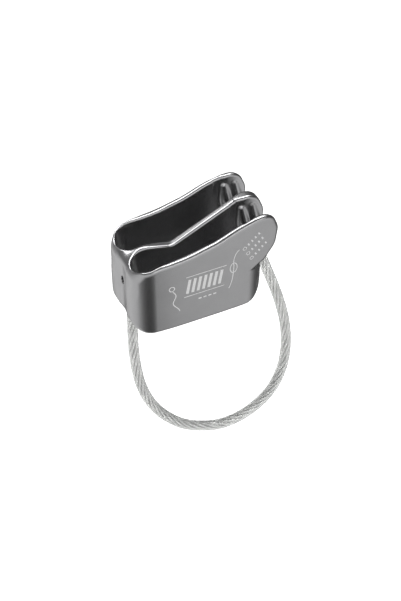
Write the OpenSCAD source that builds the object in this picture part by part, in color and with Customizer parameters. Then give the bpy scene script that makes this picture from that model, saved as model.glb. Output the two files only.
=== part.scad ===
// Double-slot tube belay device with a keeper cable.
// Frame: X runs from the anchor end to the brake nose, Y across the two rope slots, Z up along them.
// The origin is the middle of the underside, where the carabiner sits. Millimetres.

/* [Rope slots] */
// Width of each rope slot
slot_w = 12; // [10:0.5:15]
// Length of each rope slot over its round ends
slot_len = 50.5; // [42:0.5:62]

/* [Forged body] */
// Thickness of the outer walls and of the lobes round the slot ends
wall_t = 2.8; // [2.4:0.1:4]
// Thickness of the wall between the two slots
divider_t = 3.4; // [3:0.1:5]
// Height of the anchor lobes above the underside
lobe_h = 31.7; // [27:0.1:36]
// Height of the brake noses above the underside
nose_h = 42.4; // [39:0.1:52]
// How far the noses reach past the middle of the body
nose_reach = 32.7; // [30:0.1:39]
// How far each outer wall leans in by the end of its nose
nose_lean = 0.9; // [0:0.1:1.2]
// Size of the chamfer round the top of the anchor lobes
lobe_chamfer = 3.7; // [2:0.1:5]

/* [Friction channels] */
// Height of the channel floor above the underside
channel_floor = 18.7; // [17:0.1:21]
// Width of the channel at its floor
channel_floor_w = 5.2; // [4.4:0.1:7]
// Width of the channel half way up
channel_mid_w = 8.6; // [7:0.1:9]
// Width of the channel at its top
channel_top_w = 10.8; // [9.2:0.1:12]
// How far each friction ridge stands into the channel
ridge_out = 0.8; // [0.4:0.1:1.2]

/* [Keeper cable] */
// Outside diameter of the plastic sheath
sheath_d = 4.3; // [3.9:0.1:4.4]
// Inside diameter of the sheath, measured over its corners
sheath_bore_d = 3.3; // [3.2:0.1:3.6]
// Diameter of each outer strand of the wire rope
strand_d = 0.86; // [0.7:0.02:0.88]
// Radius of the circle on which the outer strands lie
strand_ring_r = 0.98; // [0.96:0.01:1.02]
// Length of cable in which the strands make one turn
lay_length = 26; // [22:1:40]

/* [Ferrules] */
// Diameter of the crimped ferrules and of the bores that hold them
ferrule_d = 4.5; // [4.5:0.1:5.4]
// Bore of the ferrules, round the wire rope
ferrule_bore_d = 3; // [2.9:0.1:3.3]
// Length of each ferrule
ferrule_l = 7.5; // [6:0.5:8.5]
// Height of the foot of the anchor ferrule above the underside
anchor_ferrule_z = 12; // [9:0.5:15]
// Distance of the anchor bore from the outer face of the lobes
anchor_inset = 4.4; // [4.2:0.1:5]
// Width and height of the window that shows the anchor ferrule
window_size = [2.4, 3.6];

/* [Hidden] */
$fn = 64;
STRANDS = 6;          // outer strands round the core strand
ROPE_SIDES = 6;       // sides of each strand
SHEATH_SIDES = 8;     // sides of the sheath
STEPS = 3;            // rings between two points of the route
ARC_STEPS = 8;        // edges in each rounded corner of an outline
PAST = 1;             // how far a cutter runs past the face that it cuts

slot_r = slot_w / 2;
lobe_r = slot_r + wall_t;
slot_y = (slot_w + divider_t) / 2;
slot_end_x = slot_len / 2 - slot_r;
half_w = slot_y + lobe_r;
half_l = slot_end_x + lobe_r;

// Round corners at the ends of the underside
anchor_foot_r = 5.6;
brake_foot_r = 10;
// Rim of the outer walls: where it leaves the lobes, and where it meets the noses
rim_start = [-slot_end_x + 6, lobe_h + 1.9];
nose_peak_x = nose_reach - 6.4;
rim_end = [nose_peak_x - 4.2, nose_h - 0.3];
// Lowest point of the divider's rim
dip = [-6, lobe_h - 2.8];
// Underside of the noses
notch = [slot_end_x + 1.3, channel_floor - 1.7];
nose_heel = [nose_reach - 5.8, channel_floor + 2];
nose_toe = [nose_reach, nose_h - 9.3];
// Friction channel
channel_mid_z = channel_floor + 13;
channel_top_z = nose_h - 3.2;
ridge_xs = [slot_end_x + 3.4, slot_end_x + 8.2];
ridge_r = 1.4;

lean_start = slot_end_x / 2;

// Bores for the cable ends
bore_d = ferrule_d;
anchor_x = anchor_inset - half_l;
anchor_boss_r = bore_d / 2 + 1;
nose_tilt = 20;
nose_exit = [nose_reach - 4.7, 0, channel_floor + 4.3];
nose_axis = [-sin(nose_tilt), 0, cos(nose_tilt)];
nose_ferrule_in = 1.5;
bore_end_gap = 0.3;
window_z = anchor_ferrule_z + 4;

// Route of the cable's centre line between the two bores
LOOP = [
    [-23.7, -0.3, -4.7], [-24.3, -1.3, -12.1], [-25, -3.5, -19.6], [-25.2, -6.2, -27.5],
    [-24.4, -9.1, -35.5], [-21.9, -12, -43.1], [-17.3, -14.8, -50], [-10.3, -17.7, -56],
    [-1.9, -19.9, -59.3], [6.5, -21.5, -60.2], [15.4, -21.9, -58.8], [23.8, -21.7, -54.9],
    [30.3, -20.8, -49.5], [35, -19.1, -42.9], [37.8, -17.1, -35.5], [39.2, -14.5, -27.3],
    [39.2, -11.8, -19.1], [38.1, -8.9, -11.2], [36.4, -6.2, -3.7], [34.3, -3.7, 3.7],
    [32, -1.7, 11.2]];
anchor_foot = [anchor_x, 0, anchor_ferrule_z];
nose_foot = nose_exit + nose_ferrule_in * nose_axis;
ROUTE = concat(
    [anchor_foot + [0, 0, ferrule_l], anchor_foot, [anchor_x, 0, anchor_ferrule_z - 9]],
    LOOP,
    [nose_exit - 4.7 * nose_axis, nose_foot, nose_foot + ferrule_l * nose_axis]);

// ---- outlines -------------------------------------------------------------------------------------

// One rounded corner: an arc that meets both edges, from corner p between its neighbours a and b
function unit(v) = v / norm(v);
function corner_arc(a, p, b, r) =
    let (u = unit(a - p), v = unit(b - p), half = acos(max(-1, min(1, u * v))) / 2,
         reach = r / tan(half), centre = p + unit(u + v) * r / sin(half),
         from = p + u * reach - centre, to = p + v * reach - centre,
         start = atan2(from[1], from[0]), turn = atan2(to[1], to[0]) - start,
         sweep = turn > 180 ? turn - 360 : turn < -180 ? turn + 360 : turn)
    [for (i = [0:ARC_STEPS]) centre + r * [cos(start + sweep * i / ARC_STEPS), sin(start + sweep * i / ARC_STEPS)]];

// A polygon with rounded corners, from a list of [x, y, radius]
function rounded(points) =
    let (n = len(points))
    [for (i = [0:n - 1])
        let (p = points[i], a = points[(i + n - 1) % n], b = points[(i + 1) % n])
        each p[2] > 0 ? corner_arc([a[0], a[1]], [p[0], p[1]], [b[0], b[1]], p[2]) : [[p[0], p[1]]]];

// Side view of the walls and lobes, without the noses
module wall_outline() {
    polygon(rounded([
        [-half_l, 0, anchor_foot_r],
        [half_l, 0, brake_foot_r],
        [half_l, notch[1] + 5, 0],
        [rim_end[0], notch[1] + 5, 0],
        [rim_end[0], rim_end[1], 0],
        [rim_start[0], rim_start[1], 14],
        [-half_l + lobe_chamfer, lobe_h, 2],
        [-half_l, lobe_h - lobe_chamfer * 1.3, 1.5]]));
}

// Side view of the brake noses
module nose_outline() {
    polygon(rounded([
        [slot_end_x - 4, notch[1] - 2.4, 0],
        [notch[0], notch[1], 1],
        [nose_heel[0], nose_heel[1], 6],
        [nose_toe[0] - 1.2, nose_toe[1] - 6, 6],
        [nose_toe[0] + 0.3, nose_toe[1] + 2, 4],
        [nose_peak_x + 3, nose_h + 0.6, 5.5],
        [rim_end[0], rim_end[1], 4],
        [slot_end_x - 4, rim_end[1] - (rim_end[0] - slot_end_x + 4) * 0.284, 0]]));
}

// Side view of what is cut away above the divider
module divider_dip_outline() {
    polygon(rounded([
        [-slot_end_x - 1, lobe_h + 0.4, 0],
        [-slot_end_x + 7, dip[1] + 1.6, 6],
        [dip[0], dip[1], 4],
        [rim_end[0] - 2, rim_end[1] - 0.8, 0],
        [rim_end[0] - 2, nose_h + 9, 0],
        [-slot_end_x - 1, nose_h + 9, 0]]));
}

// Plan of the body below the noses: two capsules, and a boss that fills the valley at the anchor end
module plan_outline() {
    for (side = [-1, 1]) {
        translate([-slot_end_x, side * slot_y]) circle(r = lobe_r);
        translate([slot_end_x, side * slot_y]) circle(r = lobe_r);
        translate([-slot_end_x, side * slot_y - lobe_r]) square([2 * slot_end_x, 2 * lobe_r]);
    }
    translate([-slot_end_x - 2, -divider_t]) square([2 * slot_end_x + 2, 2 * divider_t]);
    translate([anchor_x, 0]) circle(r = anchor_boss_r);
    translate([anchor_x, -anchor_boss_r]) square([slot_end_x / 2, 2 * anchor_boss_r]);
}

// Section across one friction channel, which narrows downward
module channel_section() {
    top_half = channel_top_w / 2;
    mid_half = channel_mid_w / 2;
    floor_half = channel_floor_w / 2;
    polygon([
        [-floor_half, channel_floor + 1], [-floor_half + 1, channel_floor],
        [floor_half - 1, channel_floor], [floor_half, channel_floor + 1],
        [mid_half, channel_mid_z], [top_half, channel_top_z], [top_half, nose_h + PAST + 3],
        [-top_half, nose_h + PAST + 3], [-top_half, channel_top_z], [-mid_half, channel_mid_z]]);
}

// Draws a side-view outline as a plate across the width w, centred on y = 0
module across(w) {
    translate([0, w / 2, 0]) rotate([90, 0, 0]) linear_extrude(w) children();
}

// ---- the forging ----------------------------------------------------------------------------------

module rope_slot() {
    translate([0, 0, -PAST]) linear_extrude(nose_h + 10) {
        translate([-slot_end_x, 0]) circle(r = slot_r);
        translate([slot_end_x, 0]) circle(r = slot_r);
        translate([-slot_end_x, -slot_r]) square([2 * slot_end_x, slot_w]);
    }
}

module friction_channel() {
    length = nose_reach + 5 - slot_end_x;
    difference() {
        translate([slot_end_x, 0, 0]) rotate([90, 0, 90]) linear_extrude(length) channel_section();
        for (x = ridge_xs, side = [-1, 1]) friction_ridge(x, side);
    }
}

// An upright ridge on the side of a channel, leaning with the channel's wall
module friction_ridge(x, side) {
    lean = atan((channel_mid_w - channel_floor_w) / 2 / (channel_mid_z - channel_floor));
    translate([x, side * (channel_floor_w / 2 + ridge_r - ridge_out), channel_floor])
        rotate([-side * lean, 0, 0])
            cylinder(r = ridge_r, h = channel_top_z - channel_floor - 3, $fn = 32);
}

// Shaves the outer walls so that they draw together along the noses
module nose_lean_cut() {
    end = nose_reach + PAST + 1;
    depth = nose_lean * (end - lean_start) / (nose_reach - lean_start);
    for (side = [-1, 1]) scale([1, side, 1]) translate([0, 0, -PAST]) linear_extrude(nose_h + 10)
        polygon([[lean_start, half_w], [end, half_w - depth], [end, half_w + PAST], [lean_start, half_w + PAST]]);
}

module cable_bores() {
    anchor_top = anchor_ferrule_z + ferrule_l + bore_end_gap;
    translate([anchor_x, 0, -PAST]) cylinder(d = bore_d, h = anchor_top + PAST);
    translate([-half_l - PAST, -window_size[0] / 2, window_z])
        cube([anchor_inset + PAST, window_size[0], window_size[1]]);
    nose_in = nose_ferrule_in + ferrule_l + bore_end_gap;
    translate(nose_exit - 6 * nose_axis) rotate([0, -nose_tilt, 0]) cylinder(d = bore_d, h = nose_in + 6);
}

module body() {
    color([0.47, 0.47, 0.48]) difference() {
        union() {
            intersection() {
                linear_extrude(nose_h + 5) plan_outline();
                across(2 * half_w) wall_outline();
            }
            across(2 * half_w) nose_outline();
        }
        for (side = [-1, 1]) translate([0, side * slot_y, 0]) {
            rope_slot();
            friction_channel();
        }
        across(divider_t + 2) divider_dip_outline();
        nose_lean_cut();
        cable_bores();
    }
}

// ---- ferrules -------------------------------------------------------------------------------------

module ferrule() {
    color([0.1, 0.1, 0.1]) difference() {
        cylinder(d = ferrule_d, h = ferrule_l);
        translate([0, 0, -PAST]) cylinder(d = ferrule_bore_d, h = ferrule_l + 2 * PAST);
    }
}

module ferrule_anchor_side() translate(anchor_foot) ferrule();

module ferrule_brake_side() translate(nose_foot) rotate([0, -nose_tilt, 0]) ferrule();

// ---- keeper cable ---------------------------------------------------------------------------------

// A smooth curve through the route's points, STEPS rings to each stretch
function spline(a, b, c, d, t) =
    0.5 * (2 * b + (c - a) * t + (2 * a - 5 * b + 4 * c - d) * pow(t, 2) + (3 * b - a - 3 * c + d) * pow(t, 3));
function route_point(i) =
    let (last = len(ROUTE) - 1, k = min(floor(i / STEPS), last - 1), t = i / STEPS - k,
         before = k > 0 ? ROUTE[k - 1] : 2 * ROUTE[0] - ROUTE[1],
         after = k + 2 > last ? 2 * ROUTE[last] - ROUTE[last - 1] : ROUTE[k + 2])
    spline(before, ROUTE[k], ROUTE[k + 1], after, t);
RINGS = STEPS * (len(ROUTE) - 1) + 1;
CENTRES = [for (i = [0:RINGS - 1]) route_point(i)];
// The cable lies straight along its bores inside the ferrules
function along(i) =
    i <= STEPS ? [0, 0, -1] : i >= RINGS - 1 - STEPS ? nose_axis : unit(CENTRES[i + 1] - CENTRES[i - 1]);
function travelled(i) = i == 0 ? 0 : travelled(i - 1) + norm(CENTRES[i] - CENTRES[i - 1]);
TANGENTS = [for (i = [0:RINGS - 1]) along(i)];
TRAVEL = [for (i = [0:RINGS - 1]) travelled(i)];

// Directions across the cable at ring i; the first stays as near +Y as it can
function side_dir(i) = unit([0, 1, 0] - ([0, 1, 0] * TANGENTS[i]) * TANGENTS[i]);
function other_dir(i) = cross(TANGENTS[i], side_dir(i));
function around(i, radius, angle) = radius * (cos(angle) * side_dir(i) + sin(angle) * other_dir(i));

// Faces that join ring after ring of a closed strip with the given number of sides
function strip(count, sides, base = 0, flip = false) =
    [for (i = [0:count - 2], s = [0:sides - 1])
        let (a = base + i * sides + s, b = base + i * sides + (s + 1) % sides)
        each flip ? [[a, b, a + sides], [b, b + sides, a + sides]]
                  : [[a, a + sides, b], [b, a + sides, b + sides]]];

// One strand: its centre runs round the rope's centre line at the given radius
module strand(radius, phase) {
    points = [for (i = [0:RINGS - 1])
        let (centre = CENTRES[i] + around(i, radius, phase + 360 * TRAVEL[i] / lay_length))
        for (s = [0:ROPE_SIDES - 1]) centre + around(i, strand_d / 2, 360 * s / ROPE_SIDES)];
    last = (RINGS - 1) * ROPE_SIDES;
    caps = [[for (s = [0:ROPE_SIDES - 1]) s], [for (s = [ROPE_SIDES - 1:-1:0]) last + s]];
    color([0.66, 0.67, 0.66]) polyhedron(points, concat(strip(RINGS, ROPE_SIDES), caps));
}

module cable_core_strand() strand(0, 0);

module cable_strand(number) strand(strand_ring_r, 360 * (number - 1) / STRANDS);

// The sheath runs from one ferrule's foot to the other's
module cable_sheath() {
    first = STEPS;
    count = RINGS - 2 * STEPS;
    function ring(radius, i) = [for (s = [0:SHEATH_SIDES - 1]) CENTRES[i] + around(i, radius, 360 * s / SHEATH_SIDES)];
    outer = [for (i = [first:first + count - 1]) each ring(sheath_d / 2, i)];
    inner = [for (i = [first:first + count - 1]) each ring(sheath_bore_d / 2, i)];
    base = len(outer);
    end = (count - 1) * SHEATH_SIDES;
    caps = [for (s = [0:SHEATH_SIDES - 1])
        let (t = (s + 1) % SHEATH_SIDES)
        each [[s, t, base + t, base + s], [end + s, base + end + s, base + end + t, end + t]]];
    faces = concat(strip(count, SHEATH_SIDES), strip(count, SHEATH_SIDES, base, true), caps);
    color([0.8, 0.81, 0.8, 0.6]) polyhedron(concat(outer, inner), faces);
}

body();
ferrule_anchor_side();
ferrule_brake_side();
cable_sheath();
cable_core_strand();
cable_strand(1);  // cable_strand_1
cable_strand(2);  // cable_strand_2
cable_strand(3);  // cable_strand_3
cable_strand(4);  // cable_strand_4
cable_strand(5);  // cable_strand_5
cable_strand(6);  // cable_strand_6
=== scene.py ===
import math

import bpy
import numpy as np
from bpy.props import FloatProperty, FloatVectorProperty, IntProperty, PointerProperty
from mathutils import Matrix, Vector


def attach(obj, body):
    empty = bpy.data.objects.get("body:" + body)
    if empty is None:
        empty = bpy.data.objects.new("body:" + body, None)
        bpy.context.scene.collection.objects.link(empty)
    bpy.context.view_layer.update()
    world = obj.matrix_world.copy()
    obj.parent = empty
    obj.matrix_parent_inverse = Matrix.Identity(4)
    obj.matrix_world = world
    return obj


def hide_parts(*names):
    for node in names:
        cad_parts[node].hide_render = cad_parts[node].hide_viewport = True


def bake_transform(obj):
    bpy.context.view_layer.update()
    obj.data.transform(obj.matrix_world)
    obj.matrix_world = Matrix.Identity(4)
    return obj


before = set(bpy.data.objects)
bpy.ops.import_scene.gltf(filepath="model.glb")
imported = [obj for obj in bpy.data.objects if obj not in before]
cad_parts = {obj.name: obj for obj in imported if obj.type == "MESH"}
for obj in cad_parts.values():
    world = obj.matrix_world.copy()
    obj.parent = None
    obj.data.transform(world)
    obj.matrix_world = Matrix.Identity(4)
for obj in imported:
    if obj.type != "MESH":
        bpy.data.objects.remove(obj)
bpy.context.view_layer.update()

bl_info = {
    "name": "Belay device with keeper cable",
    "version": (1, 0, 0),
    "blender": (4, 5, 0),
    "location": "3D View > Sidebar > Belay",
    "description": "Builds a forged two-slot belay device and its keeper cable round the packed frame",
    "category": "Object",
}

MM = 0.001
FORGING, LOOP = "forged_body", "keeper_loop"
STRANDS = ["cable_core_strand"] + [f"cable_strand_{i}" for i in range(1, 7)]

# Route of the cable's centre line, from the top of one ferrule to the top of the other, in millimetres
ROUTE = [
    (-23.65, 0, 19.5), (-23.65, 0, 12), (-23.65, 0, 3), (-23.7, -0.3, -4.7), (-24.3, -1.3, -12.1),
    (-25, -3.5, -19.6), (-25.2, -6.2, -27.5), (-24.4, -9.1, -35.5), (-21.9, -12, -43.1), (-17.3, -14.8, -50),
    (-10.3, -17.7, -56), (-1.9, -19.9, -59.3), (6.5, -21.5, -60.2), (15.4, -21.9, -58.8), (23.8, -21.7, -54.9),
    (30.3, -20.8, -49.5), (35, -19.1, -42.9), (37.8, -17.1, -35.5), (39.2, -14.5, -27.3), (39.2, -11.8, -19.1),
    (38.1, -8.9, -11.2), (36.4, -6.2, -3.7), (34.3, -3.7, 3.7), (32, -1.7, 11.2),
    (29.607, 0, 18.583), (27.487, 0, 24.41), (24.922, 0, 31.457)]

# Cable bores and the window into the anchor-end one, in millimetres. The brake-side bore's axis passes through
# NOSE_X and NOSE_Z, and NOSE_BORE_END is measured along it from there
BORE_R = 2.25
ANCHOR_X, ANCHOR_BORE_TOP = -23.65, 19.8
NOSE_X, NOSE_Z, NOSE_BORE_END = 28, 23, 9.3
NOSE_TILT = math.radians(20)
WINDOW_Z, WINDOW_HALF_W, WINDOW_HALF_H = 17.8, 1.2, 1.8

CAMERA_PLACE = (-0.1396, -0.3101, 0.3188)
CAMERA_TURN = ((0.9047, 0.2933, -0.3090), (-0.4260, 0.6228, -0.6563), (0.0, 0.7254, 0.6884))

# Dark patches of the studio light, as (direction, how much darker, angles in degrees where it ends and is full)
DARK_PATCHES = (
    ((0.309, 0.656, -0.688), 0.94, 34, 20),  # behind the object, mirrored by faces seen nearly side-on
    ((-0.309, -0.656, -0.688), 0.95, 38, 12),  # below the camera, mirrored by upright walls that face it
    ((0.78, 0.15, -0.61), 0.85, 50, 12),  # low on the right
    ((0.3, 0.05, -0.95), 0.92, 38, 14))  # underneath
BRIGHT_PATCH = ((-0.6, 0.68, 0.4), 0.22, 45, 15)  # high on the left, as (direction, how much brighter, angles)


# ---- settings -------------------------------------------------------------------------------------

def length(name, description, mm, low=0.0, high=0.2):
    return FloatProperty(name=name, description=description, default=mm * MM, min=low, max=high,
                         precision=5, subtype="DISTANCE", unit="LENGTH")


def colour(name, description, rgb):
    return FloatVectorProperty(name=name, description=description, default=rgb, min=0, max=1, size=3, subtype="COLOR")


def share(name, description, value):
    return FloatProperty(name=name, description=description, default=value, min=0, max=1, subtype="FACTOR")


class ForgingSettings(bpy.types.PropertyGroup):
    """Sizes and finish of the forged body"""
    slot_width: length("Slot width", "Width of each rope slot", 12)
    slot_length: length("Slot length", "Length of each rope slot over its round ends", 50.5)
    wall: length("Wall", "Thickness of the outer walls", 2.8)
    divider: length("Divider", "Thickness of the wall between the slots", 3.4)
    lobe_height: length("Lobe height", "Height of the anchor lobes above the underside", 31.7)
    nose_height: length("Nose height", "Height of the brake noses above the underside", 42.4)
    nose_reach: length("Nose reach", "How far the noses reach past the middle", 32.7)
    nose_lean: length("Nose lean", "How far each outer wall leans in by the end of its nose", 1.1)
    anchor_lean: length("Anchor lean", "How far each outer wall draws in towards its anchor lobe", 0.5)
    rim_sag: length("Rim sag", "How far the rims sag below a straight line in the middle", 1.5)
    chamfer: length("Lobe chamfer", "Chamfer round the top of the anchor lobes", 3.7)
    channel_floor: length("Channel floor", "Height of the friction channels' floor", 18.7)
    rim_round: length("Rim rounding", "Radius on the outer edges of the noses", 1.5)
    mouth_round: length("Mouth rounding", "Radius on the slots' edges at the noses", 1.2)
    crest_round: length("Crest rounding", "Radius on the slots' edges at the anchor end", 0.95)
    bowl_flare: length("Bowl flare", "How far the slots flare out at the top of their anchor ends", 0.9)
    band: length("Rim band", "Width of the sloping band outside the rims at the anchor end", 1.5)
    foot_round: length("Foot rounding", "Radius round the underside and on the anchor end's outer edges", 1.3)
    grain: length("Grain", "Size of the grain left by bead blasting", 0.16)
    metal: colour("Metal", "Colour of the anodised aluminium", (0.365, 0.365, 0.37))
    satin: share("Satin roughness", "Roughness of the blasted outer walls", 0.3)
    polish: share("Polished roughness", "Roughness of the slots and rims", 0.3)
    mark_rise: length("Mark rise", "How far the marks stand proud of the wall", 0.03)
    mark_depth: length("Mark depth", "How deep the marks go into the wall", 0.15)
    mark_colour: colour("Marks", "Colour of the laser marks", (0.97, 0.97, 0.97))


class CableSettings(bpy.types.PropertyGroup):
    """Sizes and finish of the keeper cable"""
    sheath_diameter: length("Sheath diameter", "Outside diameter of the plastic sheath", 4.3)
    sheath_bore: length("Sheath bore", "Inside diameter of the plastic sheath", 3.2)
    strand_diameter: length("Strand diameter", "Diameter of each strand of the wire rope", 0.94)
    ring_radius: length("Ring radius", "Radius of the circle on which the outer strands lie", 0.97)
    lay: length("Lay length", "Length of cable in which the strands make one turn", 26)
    wire_lay: length("Wire lay", "Length of strand in which its wires make one turn", 7)
    wires: IntProperty(name="Wires", description="Outer wires in each strand", default=6, min=4, max=12)
    steel: colour("Steel", "Colour of the wire rope", (0.86, 0.86, 0.85))
    sheath_colour: colour("Sheath", "Tint of the translucent sheath", (0.95, 0.96, 0.95))
    # Painted shade: the ferrules are coloured near black so that the window and the bores they sit in look dark
    ferrule_shade_colour: colour("Ferrule", "Colour of the shade-darkened ferrules", (0.09, 0.09, 0.09))


class StageSettings(bpy.types.PropertyGroup):
    """Camera, floor and light"""
    floor_height: FloatProperty(name="Floor height", description="Height of the floor", default=-0.24,
                                subtype="DISTANCE", unit="LENGTH")
    floor_colour: colour("Floor", "Colour of the floor", (0.97, 0.97, 0.97))
    focal_length: FloatProperty(name="Focal length", description="Lens of the camera, in millimetres", default=69.454)


# ---- distance fields, in millimetres --------------------------------------------------------------

def smin(a, b, k):
    """Smaller of two distances, with a fillet of about k where they meet."""
    return np.minimum(a, b) - np.maximum(k - np.abs(a - b), 0) ** 2 / (4 * k)


def smax(a, b, k):
    """Larger of two distances, with a corner softened by about k."""
    return -smin(-a, -b, k)


def round_meet(a, b, r):
    """Distance to what lies in both shapes, with their common edge rounded to radius r."""
    return np.minimum(-r, np.maximum(a, b)) + np.hypot(np.maximum(a + r, 0), np.maximum(b + r, 0))


def ramp(value, low, high):
    t = np.clip((value - low) / (high - low), 0, 1)
    return t * t * (3 - 2 * t)


def rounded(corners, steps=8):
    """Outline from (x, y, radius) corners, each replaced with an arc."""
    out, n = [], len(corners)
    for i, (x, y, r) in enumerate(corners):
        p = np.array((x, y), float)
        if r == 0:
            out.append(p)
            continue
        u, v = (np.array(corners[j % n][:2], float) - p for j in (i - 1, i + 1))
        u, v = u / np.linalg.norm(u), v / np.linalg.norm(v)
        half = math.acos(np.clip(u @ v, -1, 1)) / 2
        centre = p + (u + v) / np.linalg.norm(u + v) * r / math.sin(half)
        a, b = p + u * r / math.tan(half) - centre, p + v * r / math.tan(half) - centre
        start = math.atan2(a[1], a[0])
        sweep = (math.atan2(b[1], b[0]) - start + math.pi) % (2 * math.pi) - math.pi
        out += [centre + r * np.array((math.cos(start + sweep * t / steps), math.sin(start + sweep * t / steps)))
                for t in range(steps + 1)]
    return out


def outline_distance(outline, u, v):
    """Signed distance to a closed outline, negative inside."""
    u, v = np.broadcast_arrays(u, v)
    near, inside = np.full(u.shape, 1e9), np.zeros(u.shape, bool)
    a = outline[-1]
    for b in outline:
        ex, ey = b - a
        if ex * ex + ey * ey > 1e-12:
            t = np.clip(((u - a[0]) * ex + (v - a[1]) * ey) / (ex * ex + ey * ey), 0, 1)
            near = np.minimum(near, (u - a[0] - ex * t) ** 2 + (v - a[1] - ey * t) ** 2)
            if ey:
                inside ^= ((a[1] > v) != (b[1] > v)) & (u < a[0] + (v - a[1]) * ex / ey)
        a = b
    return np.where(inside, -1, 1) * np.sqrt(near)


class Forging:
    """The forged body as a distance field, with every edge rounded as on a tumbled forging."""

    def __init__(self, s):
        mm = {k: getattr(s, k) / MM for k in (
            "slot_width", "slot_length", "wall", "divider", "lobe_height", "nose_height", "nose_reach", "nose_lean",
            "anchor_lean", "rim_sag", "chamfer", "channel_floor", "rim_round", "mouth_round", "crest_round",
            "bowl_flare", "band", "foot_round")}
        self.__dict__.update(mm)
        self.slot_r = self.slot_width / 2
        self.lobe_r = self.slot_r + self.wall
        self.slot_y = (self.slot_width + self.divider) / 2
        self.end_x = self.slot_length / 2 - self.slot_r
        self.half_w = self.slot_y + self.lobe_r
        self.half_l = self.end_x + self.lobe_r
        e, h, f, reach = self.end_x, self.nose_height, self.channel_floor, self.nose_reach
        rim_start = (6 - e, self.lobe_height + 1.9)
        peak_x = reach - 6.4
        rim_end = (peak_x - 4.2, h - 0.3)
        notch = (e + 1.3, f - 1.7)
        # Side views of the walls, the noses and what is cut from the divider's top, as (x, z, corner radius)
        self.wall_side = rounded([
            (-self.half_l, 0, 5.6), (self.half_l, 0, 10), (self.half_l, notch[1] + 5, 0),
            (rim_end[0], notch[1] + 5, 0), (*rim_end, 0), (*rim_start, 14),
            (self.chamfer - self.half_l, self.lobe_height, 2.6),
            (-self.half_l, self.lobe_height - self.chamfer * 1.3, 3)])
        self.nose_side = rounded([
            (e - 4, notch[1] - 2.4, 0), (*notch, 1), (reach - 5.8, f + 2, 6), (reach - 1.2, h - 15.3, 8),
            (reach - 0.2, h - 7.6, 6), (peak_x + 3, h + 0.4, 6.5), (*rim_end, 4),
            (e - 4, rim_end[1] - (rim_end[0] - e + 4) * 0.284, 0)], 14)
        low = self.lobe_height - 2.8
        self.dip_side = rounded([
            (-e - 1, self.lobe_height + 0.4, 0), (7 - e, low + 1.6, 6), (-6, low, 4),
            (rim_end[0] - 2, rim_end[1] - 0.8, 0), (rim_end[0] - 2, h + 9, 0), (-e - 1, h + 9, 0)])
        # Section across a friction channel, as (distance from the slot's middle, z, corner radius)
        mid, top = f + 13, h - 3.2
        half = [(-2.6, f + 1, 0.6), (-1.6, f, 0.6), (1.6, f, 0.6), (2.6, f + 1, 0.6),
                (4.3, mid, 6), (5.4, top, 6), (5.4, h + 5, 0)]
        self.channel = rounded(half + [(-5.4, h + 5, 0), (-5.4, top, 6), (-4.3, mid, 6)])
        self.ridge_top = top - 0.6
        self.lean = math.atan(1.7 / 13)
        self.saddle_tilt = math.radians(22)

    def front(self, x):
        """Half of the body's width at x, drawn in along the noses and towards the anchor end."""
        nose = np.maximum((x - 6) / (self.nose_reach - 6), 0) ** 2
        anchor = np.maximum((-7 - x) / 13, 0) ** 2
        return self.half_w - self.nose_lean * nose - self.anchor_lean * anchor

    def outer(self, x, y, z):
        """The forging before its slots are cut."""
        # The walls draw in because y is stretched before the plan is measured
        ay = np.abs(y)
        warped = ay + (self.half_w - self.front(x)) * ramp(ay, 7, 15)
        along = np.maximum(np.abs(x) - self.end_x, 0)
        flank = warped - self.half_w
        lobe, other = np.hypot(along, warped - self.slot_y), np.hypot(along, warped + self.slot_y)
        plan = smin(lobe, other, 2.5) - self.lobe_r
        web = np.maximum(ay - 5.2, np.maximum(-26.7 - x, x + 16))
        plan = np.maximum(np.where(x < 0, smin(plan, web, 2.6), plan), flank)
        edge = self.foot_round + (self.rim_round - self.foot_round) * ramp(z, 8, 20) * ramp(x, -22, 12)
        # The rims sag in the middle, and a sloping band runs outside them round the anchor end
        sag = self.rim_sag * ramp(x, -self.end_x, -3) * ramp(x, 17, 4) * ramp(z, 12, 26)
        side = outline_distance(self.wall_side, x, z + sag * ramp(ay, 2, 5))
        band = self.band * ramp(x, -15, -24) * ramp(z, 12, 22)
        wall = smax(round_meet(plan, side, edge), (plan + side + band) * 0.7071, 1.0)
        nose = round_meet(flank, outline_distance(self.nose_side, x, z), edge)
        k = 0.02 + 1.2 * ramp(x, self.end_x, self.end_x + 5) * ramp(z, 25, 21)
        shape = smin(wall, nose, k)
        dipped = np.maximum(shape, -outline_distance(self.dip_side, x, z))
        t = ramp(ay, 2.0, 4.4)
        shape = dipped * (1 - t) + shape * t
        # A wide trough between the anchor lobes slopes down towards their end
        s, c = math.sin(self.saddle_tilt), math.cos(self.saddle_tilt)
        trough = 9 - np.hypot(y, (z - self.lobe_height - 7.4) * c - (x + 24.4) * s)
        return smax(shape, np.minimum(trough, -14 - x), 1.6)

    def hollow(self, x, y, z):
        """The slots, the friction channels and the ridges that stand in them."""
        q = np.abs(y) - self.slot_y
        flare = self.bowl_flare * ramp(x, -8, -24) * np.clip((z - self.lobe_height + 8) / 8, 0, 1) ** 2.5
        slot = np.hypot(np.maximum(np.abs(x) - self.end_x, 0), q) - self.slot_r - flare
        channel = np.maximum(outline_distance(self.channel, q, z), self.end_x - x)
        void = smin(slot, channel, 1.6)
        s, c = math.sin(self.lean), math.cos(self.lean)
        for rx in (self.end_x + 3.4, self.end_x + 8.2):
            dq, dz = np.abs(q) - 3.25, z - self.channel_floor
            t = np.clip(dq * s + dz * c, -6, self.ridge_top - self.channel_floor - 1)
            drift = 0.14 * (self.ridge_top - z)
            width = 0.9 + 1.05 * ramp(z, self.ridge_top, self.ridge_top - 8)
            ridge = np.sqrt((x - rx - drift) ** 2 + (dq - s * t) ** 2 + (dz - c * t) ** 2) - width
            void = smax(void, -ridge, 1.3)
        return void

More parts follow.
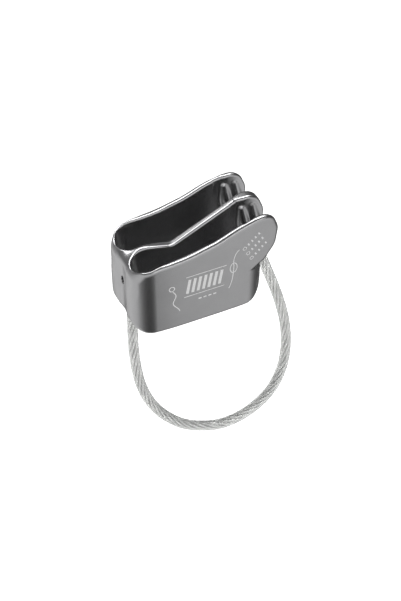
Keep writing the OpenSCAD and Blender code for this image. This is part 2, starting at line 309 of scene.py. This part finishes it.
    def bores(self, x, y, z):
        """Both cable bores and the window."""
        anchor = np.maximum(np.hypot(x - ANCHOR_X, y) - BORE_R, z - ANCHOR_BORE_TOP)
        tall = np.maximum(np.abs(z - WINDOW_Z) - (WINDOW_HALF_H - WINDOW_HALF_W), 0)
        window = np.maximum(np.hypot(y, tall) - WINDOW_HALF_W, x - ANCHOR_X)
        ax, az = -math.sin(NOSE_TILT), math.cos(NOSE_TILT)
        t = (x - NOSE_X) * ax + (z - NOSE_Z) * az
        nose = np.maximum(np.hypot((x - NOSE_X) * az - (z - NOSE_Z) * ax, y) - BORE_R, t - NOSE_BORE_END)
        return np.minimum(np.minimum(anchor, window), nose)

    def distance(self, x, y, z):
        mouth = self.crest_round + (self.mouth_round - self.crest_round) * ramp(x, -16, 16)
        cut = round_meet(self.outer(x, y, z), -self.hollow(x, y, z), mouth)
        return round_meet(cut, -self.bores(x, y, z), 0.35)


def surface_net(field, axes):
    """Vertices and quads of the field's zero surface, one vertex to each cell that it crosses."""
    inside = field < 0
    shape = tuple(n - 1 for n in field.shape)
    count = sum(inside[i:i + shape[0], j:j + shape[1], k:k + shape[2]].astype(np.int8)
                for i in (0, 1) for j in (0, 1) for k in (0, 1))
    cells = np.argwhere((count > 0) & (count < 8))
    index = np.full(shape, -1)
    index[tuple(cells.T)] = np.arange(len(cells))
    total, hits = np.zeros((len(cells), 3)), np.zeros(len(cells))
    for axis in range(3):
        others = [a for a in range(3) if a != axis]
        for u in (0, 1):
            for v in (0, 1):
                a = cells.copy()
                a[:, others[0]] += u
                a[:, others[1]] += v
                b = a.copy()
                b[:, axis] += 1
                fa, fb = field[tuple(a.T)], field[tuple(b.T)]
                cut = (fa < 0) != (fb < 0)
                t = np.where(cut, fa / np.where(cut, fa - fb, 1), 0)
                pa = np.stack([axes[d][a[:, d]] for d in range(3)], 1)
                pb = np.stack([axes[d][b[:, d]] for d in range(3)], 1)
                total += np.where(cut[:, None], pa + t[:, None] * (pb - pa), 0)
                hits += cut
    quads = []
    for axis in range(3):
        u, v = (axis + 1) % 3, (axis + 2) % 3
        low, high = [slice(None)] * 3, [slice(None)] * 3
        low[axis], high[axis] = slice(0, -1), slice(1, None)
        cut = inside[tuple(low)] != inside[tuple(high)]
        edges = np.argwhere(cut)
        edges = edges[(edges[:, u] > 0) & (edges[:, v] > 0) & (edges[:, u] < shape[u]) & (edges[:, v] < shape[v])]
        corner = []
        for du, dv in ((-1, -1), (0, -1), (0, 0), (-1, 0)):
            c = edges.copy()
            c[:, u] += du
            c[:, v] += dv
            corner.append(index[tuple(c.T)])
        quad = np.stack(corner, 1)
        flip = ~inside[tuple(edges.T)]
        quad[flip] = quad[flip][:, ::-1]
        quads.append(quad)
    return total / hits[:, None], np.concatenate(quads)


def spaced(*stretches):
    """Grid lines from (start, step) pairs; the last pair holds only the end."""
    lines = []
    for (a, step), (b, _) in zip(stretches, stretches[1:]):
        n = max(1, round((b - a) / step))
        lines += [a + (b - a) * i / n for i in range(n)]
    return np.array(lines + [stretches[-1][0]])


def gradient(f, p, h=0.02):
    out = np.empty_like(p)
    for a in range(3):
        step = np.zeros(3)
        step[a] = h
        out[:, a] = (f(*(p + step).T) - f(*(p - step).T)) / (2 * h)
    return out


# ---- meshes and nodes -----------------------------------------------------------------------------

def mesh_object(name, points, faces, smooth=True, edges=()):
    mesh = bpy.data.meshes.new(name)
    mesh.from_pydata([tuple(p) for p in points], edges, [tuple(int(i) for i in f) for f in faces])
    mesh.validate()
    if smooth:
        mesh.shade_smooth()
    made = bpy.data.objects.new(name, mesh)
    bpy.context.scene.collection.objects.link(made)
    return made


def add(tree, kind, inputs=None, **settings):
    """A new node, with its settings and its inputs' values or links."""
    made = tree.nodes.new(kind)
    for key, value in settings.items():
        setattr(made, key, value)
    for key, value in (inputs or {}).items():
        if isinstance(value, bpy.types.NodeSocket):
            tree.links.new(value, made.inputs[key])
        else:
            made.inputs[key].default_value = value
    return made


def new_material(name, **shader):
    """A material with one Principled shader, whose constants are set on its own sockets."""
    material = bpy.data.materials.new(name)
    material.use_nodes = True
    principled = material.node_tree.nodes["Principled BSDF"]
    for key, value in shader.items():
        principled.inputs[key.replace("_", " ")].default_value = value
    return material, material.node_tree, principled


def noise(tree, place, scale, detail=2.0, rough=0.5, stretch=None):
    """Noise on Object coordinates, or on those stretched by a Mapping node."""
    if stretch:
        place = add(tree, "ShaderNodeMapping", {"Vector": place, "Scale": stretch}).outputs[0]
    return add(tree, "ShaderNodeTexNoise",
               {"Vector": place, "Scale": scale, "Detail": detail, "Roughness": rough}).outputs["Fac"]


def spread(tree, value, low, high, start=0.3, end=0.7):
    return add(tree, "ShaderNodeMapRange", {"Value": value, "From Min": start, "From Max": end,
                                            "To Min": low, "To Max": high}).outputs[0]


def multiply(tree, a, b):
    return add(tree, "ShaderNodeMath", {0: a, 1: b}, operation="MULTIPLY").outputs[0]


def tinted(tree, rgb, value):
    """A colour made lighter or darker by a value near one."""
    return add(tree, "ShaderNodeVectorMath", {0: rgb, 3: value}, operation="SCALE").outputs[0]


def bumped(tree, height, strength, distance):
    return add(tree, "ShaderNodeBump", {"Height": height, "Strength": strength, "Distance": distance}).outputs[0]


# ---- cable ----------------------------------------------------------------------------------------

def centre_line(steps=12):
    """Points of the smooth curve through the route, in metres, and the places of the ferrules' feet."""
    p = np.array(ROUTE, float)
    p = np.vstack([2 * p[0] - p[1], p, 2 * p[-1] - p[-2]])
    out = []
    for k in range(len(ROUTE) - 1):
        a, b, c, d = p[k:k + 4]
        for i in range(steps):
            t = i / steps
            out.append(0.5 * (2 * b + (c - a) * t + (2 * a - 5 * b + 4 * c - d) * t ** 2
                              + (3 * b - a - 3 * c + d) * t ** 3))
    out.append(p[-2])
    return np.array(out) * MM, steps, len(out) - 1 - steps


def tube(name, line, outer, inner):
    """A closed tube along a line, with its outer and inner radius, and its inner faces in the second material."""
    sides = 40
    tangent = np.gradient(line, axis=0)
    tangent /= np.linalg.norm(tangent, axis=1)[:, None]
    tangent[0], tangent[-1] = (0, 0, -1), (-math.sin(NOSE_TILT), 0, math.cos(NOSE_TILT))
    side = np.array((0, 1, 0)) - tangent[:, 1:2] * tangent
    side /= np.linalg.norm(side, axis=1)[:, None]
    other = np.cross(tangent, side)
    angle = np.arange(sides) * 2 * math.pi / sides
    ring = np.cos(angle)[None, :, None] * side[:, None] + np.sin(angle)[None, :, None] * other[:, None]
    n = len(line)
    points = np.vstack([(line[:, None] + outer * ring).reshape(-1, 3), (line[:, None] + inner * ring).reshape(-1, 3)])
    faces, slots = [], []
    for i in range(n - 1):
        for s in range(sides):
            a, b = i * sides + s, i * sides + (s + 1) % sides
            faces.append((a, b, b + sides, a + sides))
            slots.append(0)
            a, b = a + n * sides, b + n * sides
            faces.append((a, a + sides, b + sides, b))
            slots.append(1)
    for s in range(sides):
        t = (s + 1) % sides
        faces.append((s, n * sides + s, n * sides + t, t))
        e = (n - 1) * sides
        faces.append((e + s, e + t, n * sides + e + t, n * sides + e + s))
        slots += [0, 0]
    made = mesh_object(name, points, faces)
    made.data.polygons.foreach_set("material_index", slots)
    return made


def strand_tree():
    """Geometry Nodes that lay one strand of twisted wires round a centre line."""
    tree = bpy.data.node_groups.new("twisted strand", "GeometryNodeTree")
    face = tree.interface
    face.new_socket("Geometry", in_out="INPUT", socket_type="NodeSocketGeometry")
    for name, kind in (("Strand diameter", "Float"), ("Ring radius", "Float"), ("Phase", "Float"),
                       ("Lay length", "Float"), ("Wire lay", "Float"), ("Wires", "Int"), ("Groove", "Float"),
                       ("Material", "Material")):
        face.new_socket(name, in_out="INPUT", socket_type="NodeSocket" + kind)
    face.new_socket("Geometry", in_out="OUTPUT", socket_type="NodeSocketGeometry")
    given, out = add(tree, "NodeGroupInput").outputs, add(tree, "NodeGroupOutput")

    def maths(op, a, b=None):
        return add(tree, "ShaderNodeMath", {0: a} if b is None else {0: a, 1: b}, operation=op).outputs[0]

    def vector(op, **inputs):
        made = add(tree, "ShaderNodeVectorMath", {int(k[1:]): v for k, v in inputs.items()}, operation=op)
        return made.outputs["Value"] if op == "DOT_PRODUCT" else made.outputs["Vector"]

    turn, sides = 2 * math.pi, 24
    curve = add(tree, "GeometryNodeMeshToCurve", {0: given["Geometry"]}).outputs[0]
    curve = add(tree, "GeometryNodeResampleCurve", {"Curve": curve, "Count": 560}, mode="COUNT").outputs[0]
    travelled = add(tree, "GeometryNodeSplineParameter").outputs["Length"]
    tangent = add(tree, "GeometryNodeInputTangent").outputs[0]
    across = (0.0, 1.0, 0.0)
    side = vector("NORMALIZE", _0=vector("SUBTRACT", _0=across, _1=vector(
        "SCALE", _0=tangent, _3=vector("DOT_PRODUCT", _0=across, _1=tangent))))
    other = vector("CROSS_PRODUCT", _0=tangent, _1=side)
    angle = maths("ADD", given["Phase"], maths("MULTIPLY", maths("DIVIDE", travelled, given["Lay length"]), turn))
    offset = vector("SCALE", _3=given["Ring radius"], _0=vector(
        "ADD", _0=vector("SCALE", _0=side, _3=maths("COSINE", angle)),
        _1=vector("SCALE", _0=other, _3=maths("SINE", angle))))
    curve = add(tree, "GeometryNodeSetPosition", {"Geometry": curve, "Offset": offset}).outputs[0]
    tilt = maths("MULTIPLY", maths("DIVIDE", add(tree, "GeometryNodeSplineParameter").outputs["Length"],
                                   given["Wire lay"]), turn)
    curve = add(tree, "GeometryNodeSetCurveTilt", {"Curve": curve, "Tilt": tilt}).outputs[0]
    circle = add(tree, "GeometryNodeCurvePrimitiveCircle", {"Resolution": sides, "Radius": 1.0}).outputs[0]
    round_angle = maths("MULTIPLY", add(tree, "GeometryNodeInputIndex").outputs[0], turn / sides)
    ripple = maths("COSINE", maths("MULTIPLY", round_angle, given["Wires"]))
    groove = maths("MULTIPLY", given["Groove"], maths("SUBTRACT", 1.0, ripple))
    radius = maths("MULTIPLY", maths("SUBTRACT", 1.0, groove), maths("MULTIPLY", given["Strand diameter"], 0.5))
    place = vector("SCALE", _0=add(tree, "GeometryNodeInputPosition").outputs[0], _3=radius)
    circle = add(tree, "GeometryNodeSetPosition", {"Geometry": circle, "Position": place}).outputs[0]
    mesh = add(tree, "GeometryNodeCurveToMesh",
               {"Curve": curve, "Profile Curve": circle, "Fill Caps": True}).outputs[0]
    mesh = add(tree, "GeometryNodeRealizeInstances", {"Geometry": mesh}).outputs[0]
    mesh = add(tree, "GeometryNodeSetMaterial", {"Geometry": mesh, "Material": given["Material"]}).outputs[0]
    tree.links.new(mesh, out.inputs[0])
    return tree


def grown(name, source, tree, values):
    """The plain mesh that a node tree makes from a source object, with the tree's inputs set by name."""
    modifier = source.modifiers.new("nodes", "NODES")
    modifier.node_group = tree
    for item in tree.interface.items_tree:
        if item.in_out == "INPUT" and item.name in values:
            modifier[item.identifier] = values[item.name]
    source.update_tag()
    bpy.context.view_layer.update()
    evaluated = source.evaluated_get(bpy.context.evaluated_depsgraph_get())
    mesh = bpy.data.meshes.new_from_object(evaluated)
    mesh.name = name
    mesh.shade_smooth()
    source.modifiers.remove(modifier)
    made = bpy.data.objects.new(name, mesh)
    bpy.context.scene.collection.objects.link(made)
    return made


def sheath_materials(s):
    """The clear plastic, and its bonded inner face, which bends no light."""
    material, tree, shader = new_material("clear sheath", Metallic=0.0, IOR=1.45, Transmission_Weight=0.74)
    place = add(tree, "ShaderNodeTexCoord").outputs["Object"]
    cloud = noise(tree, place, 90, 3)
    tree.links.new(tinted(tree, (*s.sheath_colour,), spread(tree, cloud, 0.96, 1.03)), shader.inputs["Base Color"])
    tree.links.new(spread(tree, noise(tree, place, 420, 3), 0.08, 0.2), shader.inputs["Roughness"])
    tree.links.new(bumped(tree, noise(tree, place, 260, 2), 0.25, 0.00008), shader.inputs["Normal"])
    inner, *_ = new_material("sheath bond", IOR=1.0, Transmission_Weight=1.0, Roughness=0.0,
                             Base_Color=(1, 1, 1, 1), Specular_IOR_Level=0.0)
    return material, inner


def steel_material(s):
    material, tree, shader = new_material("drawn steel wire", Metallic=1.0, IOR=2.5)
    place = add(tree, "ShaderNodeTexCoord").outputs["Object"]
    drawn = noise(tree, place, 1400, 3)
    tree.links.new(tinted(tree, (*s.steel,), spread(tree, noise(tree, place, 300, 2), 0.85, 1.12)),
                   shader.inputs["Base Color"])
    tree.links.new(spread(tree, drawn, 0.24, 0.42), shader.inputs["Roughness"])
    tree.links.new(bumped(tree, drawn, 0.3, 0.00003), shader.inputs["Normal"])
    return material


class BELAY_OT_cable(bpy.types.Operator):
    """Build the keeper cable: seven strands inside a clear sheath"""
    bl_idname = "belay.cable"
    bl_label = "Keeper cable"

    def execute(self, context):
        s = context.scene.belay_cable
        line, first, last = centre_line()
        edges = [(i, i + 1) for i in range(len(line) - 1)]
        source = mesh_object("cable_path", line, [], smooth=False, edges=edges)
        steel, tree = steel_material(s), strand_tree()
        for i, node in enumerate(STRANDS):
            values = {
                "Strand diameter": s.strand_diameter, "Ring radius": s.ring_radius if i else 0.0,
                "Phase": math.radians(60) * (i - 1), "Lay length": s.lay, "Wire lay": s.wire_lay,
                "Wires": s.wires, "Groove": 0.055, "Material": steel}
            strand = grown("wire_" + node[6:], source, tree, values)
            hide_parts(node)
            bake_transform(strand)
        bpy.data.objects.remove(source)
        path = line[first:last + 1]
        sheath = tube("sheath", path, s.sheath_diameter / 2, s.sheath_bore / 2)
        for material in sheath_materials(s):
            sheath.data.materials.append(material)
        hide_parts("cable_sheath")
        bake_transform(sheath)
        return {"FINISHED"}


# ---- forged body ----------------------------------------------------------------------------------

def forged_material(s):
    """Bead-blasted anodised aluminium, rubbed smooth in the slots and along the rims, with a painted highlight that
    lightens the rims' crests.
    """
    material, tree, shader = new_material("anodised aluminium", Metallic=1.0)
    place = add(tree, "ShaderNodeTexCoord").outputs["Object"]
    polish = add(tree, "ShaderNodeAttribute", attribute_name="polish").outputs["Fac"]
    crest_highlight = add(tree, "ShaderNodeAttribute", attribute_name="crest_highlight").outputs["Fac"]
    grain = noise(tree, place, 1 / s.grain, 4, 0.65)
    cloud = noise(tree, place, 120, 3)
    rub = noise(tree, place, 700, 2, stretch=(0.3, 1.0, 0.6))
    shade = multiply(tree, spread(tree, cloud, 0.97, 1.03), spread(tree, grain, 0.88, 1.12))
    # Painted highlight: the colour is up to 22% lighter along the rims' crests
    shade = multiply(tree, shade, spread(tree, crest_highlight, 1.0, 1.22, 0, 1))
    tree.links.new(tinted(tree, (*s.metal,), shade), shader.inputs["Base Color"])
    satin = multiply(tree, spread(tree, grain, 0.92, 1.1), s.satin)
    smooth = multiply(tree, spread(tree, rub, 0.92, 1.1), s.polish)
    tree.links.new(add(tree, "ShaderNodeMix", {"Factor": polish, "A": satin, "B": smooth}).outputs[0],
                   shader.inputs["Roughness"])
    depth = spread(tree, polish, 0.8, 0.02, 0, 1)
    tree.links.new(bumped(tree, grain, depth, 0.00002), shader.inputs["Normal"])
    return material


class BELAY_OT_body(bpy.types.Operator):
    """Build the forged body with its rope slots, friction channels and cable bores"""
    bl_idname = "belay.body"
    bl_label = "Forged body"

    def execute(self, context):
        s = context.scene.belay_body
        forging = Forging(s)
        # Grid lines in millimetres, closer at the ends, the walls, the divider, the underside and the rims
        axes = (
            spaced((-28.9, 0.32), (-17, 0.75), (15, 0.36), (33.5, 0)),
            spaced((-17.1, 0.26), (-13, 0.5), (-2.6, 0.26), (2.6, 0.5), (13, 0.26), (17.1, 0)),
            spaced((-0.7, 0.28), (1.6, 0.9), (11, 0.45), (26.5, 0.34), (43.4, 0)))
        x, y, z = np.ix_(*axes)
        field = forging.distance(x, y, z)
        points, quads = surface_net(field, axes)
        # Each vertex moves onto the surface, by at most 0.2 mm at a time
        for _ in range(4):
            f, g = forging.distance(*points.T), gradient(forging.distance, points)
            step = -(f / np.maximum((g ** 2).sum(1), 0.2))[:, None] * g
            size = np.linalg.norm(step, axis=1)
            points += step * np.minimum(1, 0.2 / np.maximum(size, 1e-9))[:, None]
        made = mesh_object("forging", points * MM, quads)
        g = gradient(forging.distance, points)
        normals = g / np.linalg.norm(g, axis=1)[:, None]
        made.data.normals_split_custom_set_from_vertices([tuple(n) for n in normals])
        outer, hollow = forging.outer(*points.T), forging.hollow(*points.T)
        r = forging.mouth_round
        polish = 1 - ramp(hollow, r * 0.7, r + 0.5)
        # The rims' crests, where the outer shape meets the slots, get a painted highlight in the material's colour
        crest_highlight = np.clip((outer + r) / r, 0, 1) * np.clip((r - hollow) / r, 0, 1)
        for name, value in (("polish", polish), ("crest_highlight", crest_highlight)):
            made.data.attributes.new(name, "FLOAT", "POINT").data.foreach_set("value", value.astype(np.float32))
        made.data.materials.append(forged_material(s))
        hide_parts("body")
        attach(made, FORGING)
        return {"FINISHED"}


# ---- marks ----------------------------------------------------------------------------------------

MARK_SPREAD = 0.65  # how far a stroke reaches to either side of its line, as a share of its listed width


def arc(x, z, rx, rz, start, end, steps=16):
    """Points of an arc, in degrees."""
    return [(x + rx * math.cos(math.radians(start + (end - start) * i / steps)),
             z + rz * math.sin(math.radians(start + (end - start) * i / steps))) for i in range(steps + 1)]


def mark_strokes():
    """Centre lines and listed widths of the marks on the wall, as (points, width), in millimetres."""
    # A ring on a wavy line
    strokes = [(arc(-13.2, 21.2, 1.1, 1.1, 0, 360), 0.28)]
    strokes.append(([(-12.9 + 0.9 * math.sin(i / 3.2) + i * 0.07, 19.7 - i * 0.42) for i in range(27)], 0.3))
    # Slanted bars between two thin lines, with a row of dashes below
    for z in (24.9, 15.1):
        strokes.append(([(-8.2 + i * 1.7 + (0.9 if z > 20 else 0), z) for i in range(11)], 0.26))
    for i in range(7):
        strokes.append(([(-6.9 + i * 2.25, 16.6), (-5.7 + i * 2.25, 23.4)], 0.95))
    for i in range(4):
        strokes.append(([(-2.2 + i * 2.1, 12.3), (-0.9 + i * 2.1, 12.3)], 0.5))
    # A curve through an oval
    strokes.append((arc(15.6, 24.6, 3, 6, 100, 178, 12) + arc(9.4, 24.0, 3.4, 12.5, -2, -66, 12), 0.28))
    strokes.append((arc(12.7, 22.4, 1.5, 2.4, 0, 360, 20), 0.26))
    # Three rows of a ring and short bars
    for row in range(3):
        x, z = 17.3 + row * 1.6, 30.2 - row * 2.9
        strokes.append((arc(x, z, 0.75, 0.75, 0, 360, 12), 0.22))
        for k in range(4):
            a, b = x + 1.7 + k * 1.45, z + 1.5 + k * 1.25
            strokes.append(([(a - 0.35, b + 0.5), (a + 0.35, b - 0.5)], 0.5))
    return strokes


class BELAY_OT_marks(bpy.types.Operator):
    """Lay the pale marks in the outer wall"""
    bl_idname = "belay.marks"
    bl_label = "Marks"

    def execute(self, context):
        s = context.scene.belay_body
        forging = Forging(s)
        points, faces = [], []
        for path, width in mark_strokes():
            path = np.array(path, float)
            ring = np.allclose(path[0], path[-1])
            if ring:
                path = path[:-1]
            before, after = np.roll(path, 1, 0), np.roll(path, -1, 0)
            if not ring:
                before[0], after[-1] = path[0], path[-1]
            along = after - before
            along /= np.linalg.norm(along, axis=1)[:, None]
            across = np.stack((-along[:, 1], along[:, 0]), 1) * width * MARK_SPREAD
            first, n = len(points), len(path)
            for side in (1, -1):
                for x, z in path + side * across:
                    y = float(forging.front(x))
                    points += [(x, -y - s.mark_rise / MM, z), (x, -y + s.mark_depth / MM, z)]
            a, b = first, first + 2 * n
            for i in range(n if ring else n - 1):
                j = (i + 1) % n
                faces += [(a + 2 * i, b + 2 * i, b + 2 * j, a + 2 * j),
                          (a + 2 * i + 1, a + 2 * j + 1, b + 2 * j + 1, b + 2 * i + 1),
                          (a + 2 * i, a + 2 * j, a + 2 * j + 1, a + 2 * i + 1),
                          (b + 2 * i, b + 2 * i + 1, b + 2 * j + 1, b + 2 * j)]
            if not ring:
                e = 2 * (n - 1)
                faces += [(a, a + 1, b + 1, b), (a + e, b + e, b + e + 1, a + e + 1)]
        made = mesh_object("wall_marks", np.array(points) * MM, faces, smooth=False)
        material, tree, shader = new_material("laser mark", Metallic=0.0)
        place = add(tree, "ShaderNodeTexCoord").outputs["Object"]
        grain = noise(tree, place, 6000, 3)
        tree.links.new(tinted(tree, (*s.mark_colour,), spread(tree, grain, 0.82, 1.05)), shader.inputs["Base Color"])
        tree.links.new(spread(tree, grain, 0.5, 0.7), shader.inputs["Roughness"])
        made.data.materials.append(material)
        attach(made, FORGING)
        return {"FINISHED"}


# ---- ferrules -------------------------------------------------------------------------------------

class BELAY_OT_ferrules(bpy.types.Operator):
    """Give the ferrules a near-black steel colour, painted shade for the dark bores they sit in"""
    bl_idname = "belay.ferrules"
    bl_label = "Ferrules"

    def execute(self, context):
        s = context.scene.belay_cable
        # Painted shade: dark steel stands in for the shade inside the bores
        material, tree, shader = new_material("shade-darkened steel", Metallic=1.0)
        place = add(tree, "ShaderNodeTexCoord").outputs["Object"]
        turned = noise(tree, place, 1500, 3, stretch=(1, 1, 4))
        tree.links.new(tinted(tree, (*s.ferrule_shade_colour,), spread(tree, turned, 0.88, 1.08)),
                       shader.inputs["Base Color"])
        tree.links.new(spread(tree, turned, 0.2, 0.36), shader.inputs["Roughness"])
        tree.links.new(bumped(tree, turned, 0.2, 0.00003), shader.inputs["Normal"])
        for node in ("ferrule_anchor_side", "ferrule_brake_side"):
            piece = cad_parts[node]
            for slot in piece.material_slots:
                slot.material = material
        return {"FINISHED"}


# ---- stage ----------------------------------------------------------------------------------------

class BELAY_OT_camera(bpy.types.Operator):
    """Place the camera"""
    bl_idname = "belay.camera"
    bl_label = "Camera"

    def execute(self, context):
        data = bpy.data.cameras.new("camera")
        data.sensor_width = 36
        data.lens = context.scene.belay_stage.focal_length
        data.clip_start, data.clip_end = 0.01, 10
        camera = bpy.data.objects.new("camera", data)
        context.scene.collection.objects.link(camera)
        camera.matrix_world = Matrix.Translation(CAMERA_PLACE) @ Matrix(CAMERA_TURN).to_4x4()
        context.scene.camera = camera
        return {"FINISHED"}


def softbox(name, toward, distance, width, height, radiance):
    """An area light that faces the object from a direction."""
    data = bpy.data.lights.new(name, "AREA")
    data.shape, data.size, data.size_y = "RECTANGLE", width, height
    data.energy = radiance * math.pi * width * height
    light = bpy.data.objects.new(name, data)
    bpy.context.scene.collection.objects.link(light)
    back = Vector(toward).normalized()
    light.location = back * distance
    light.rotation_mode = "QUATERNION"
    light.rotation_quaternion = back.to_track_quat("Z", "Y")
    light.visible_camera = False


class BELAY_OT_stage(bpy.types.Operator):
    """Lay the floor and light it softly"""
    bl_idname = "belay.stage"
    bl_label = "Floor and light"

    def execute(self, context):
        s = context.scene.belay_stage
        h, w = s.floor_height, 4.0
        floor = mesh_object("floor", [(-w, -w, h), (w, -w, h), (w, w, h), (-w, w, h)], [(0, 1, 2, 3)], smooth=False)
        material, tree, shader = new_material("pale floor", Roughness=0.9, Emission_Color=(1, 1, 1, 1),
                                              Emission_Strength=0.55)
        place = add(tree, "ShaderNodeTexCoord").outputs["Object"]
        tree.links.new(tinted(tree, (*s.floor_colour,), spread(tree, noise(tree, place, 6, 2), 0.99, 1.01)),
                       shader.inputs["Base Color"])
        floor.data.materials.append(material)
        floor.visible_glossy = False
        floor.visible_diffuse = False
        floor.visible_shadow = False

        softbox("overhead softbox", (0.1, 0.3, 0.95), 0.75, 1.0, 0.3, 8.5)
        softbox("front softbox", (0.1, -0.85, 0.55), 0.8, 0.9, 0.28, 2.1)

        world = bpy.data.worlds.new("studio")
        world.use_nodes = True
        tree = world.node_tree
        tree.nodes.clear()
        way = add(tree, "ShaderNodeTexCoord").outputs["Generated"]

        def cone(direction, wide, narrow):
            """One inside a cone round a direction, fading to zero between two angles."""
            d = Vector(direction).normalized()
            dot = add(tree, "ShaderNodeVectorMath", {0: way, 1: tuple(d)},
                      operation="DOT_PRODUCT").outputs["Value"]
            return add(tree, "ShaderNodeMapRange", {
                "Value": dot, "From Min": math.cos(math.radians(wide)), "From Max": math.cos(math.radians(narrow))},
                interpolation_type="SMOOTHSTEP").outputs[0]

        def less(value, by):
            return add(tree, "ShaderNodeMath", {0: 1.0, 1: multiply(tree, by, value)},
                       operation="SUBTRACT").outputs[0]

        up = add(tree, "ShaderNodeVectorMath", {0: way, 1: (0.1, 0.35, 1.0)},
                 operation="DOT_PRODUCT").outputs["Value"]
        below = add(tree, "ShaderNodeMapRange", {"Value": up, "From Min": 0.12, "From Max": -0.25,
                                                 "To Min": 0.1, "To Max": 1.0},
                    interpolation_type="SMOOTHSTEP").outputs[0]
        light = below
        for direction, amount, wide, narrow in DARK_PATCHES:
            light = multiply(tree, light, less(amount, cone(direction, wide, narrow)))
        direction, amount, wide, narrow = BRIGHT_PATCH
        light = add(tree, "ShaderNodeMath", {0: light, 1: multiply(tree, amount, cone(direction, wide, narrow))},
                    operation="ADD").outputs[0]
        studio = add(tree, "ShaderNodeBackground", {"Color": (1, 1, 1, 1), "Strength": light}).outputs[0]
        white = add(tree, "ShaderNodeBackground", {"Color": (1, 1, 1, 1), "Strength": 1.0}).outputs[0]
        seen = add(tree, "ShaderNodeLightPath").outputs["Is Camera Ray"]
        shown = add(tree, "ShaderNodeMixShader", {0: seen, 1: studio, 2: white}).outputs[0]
        tree.links.new(shown, add(tree, "ShaderNodeOutputWorld").inputs["Surface"])
        context.scene.world = world
        context.scene.view_settings.view_transform = "Standard"
        return {"FINISHED"}


class BELAY_PT_panel(bpy.types.Panel):
    """Buttons that build the device"""
    bl_idname = "BELAY_PT_panel"
    bl_label = "Belay device"
    bl_space_type = "VIEW_3D"
    bl_region_type = "UI"
    bl_category = "Belay"

    def draw(self, context):
        for operator in OPERATORS:
            self.layout.operator(operator.bl_idname)
        for settings in (context.scene.belay_body, context.scene.belay_cable, context.scene.belay_stage):
            box = self.layout.box()
            for name in settings.__annotations__:
                box.prop(settings, name)


OPERATORS = (BELAY_OT_camera, BELAY_OT_cable, BELAY_OT_body, BELAY_OT_marks, BELAY_OT_ferrules, BELAY_OT_stage)
SETTINGS = {"belay_body": ForgingSettings, "belay_cable": CableSettings, "belay_stage": StageSettings}


def register():
    for cls in (*SETTINGS.values(), *OPERATORS, BELAY_PT_panel):
        bpy.utils.register_class(cls)
    for name, cls in SETTINGS.items():
        setattr(bpy.types.Scene, name, PointerProperty(type=cls))


def unregister():
    for name in SETTINGS:
        delattr(bpy.types.Scene, name)
    for cls in reversed((*SETTINGS.values(), *OPERATORS, BELAY_PT_panel)):
        bpy.utils.unregister_class(cls)


def main():
    register()
    for operator in (bpy.ops.belay.camera, bpy.ops.belay.cable, bpy.ops.belay.body, bpy.ops.belay.marks,
                     bpy.ops.belay.ferrules, bpy.ops.belay.stage):
        operator()


if __name__ == "__main__":
    main()
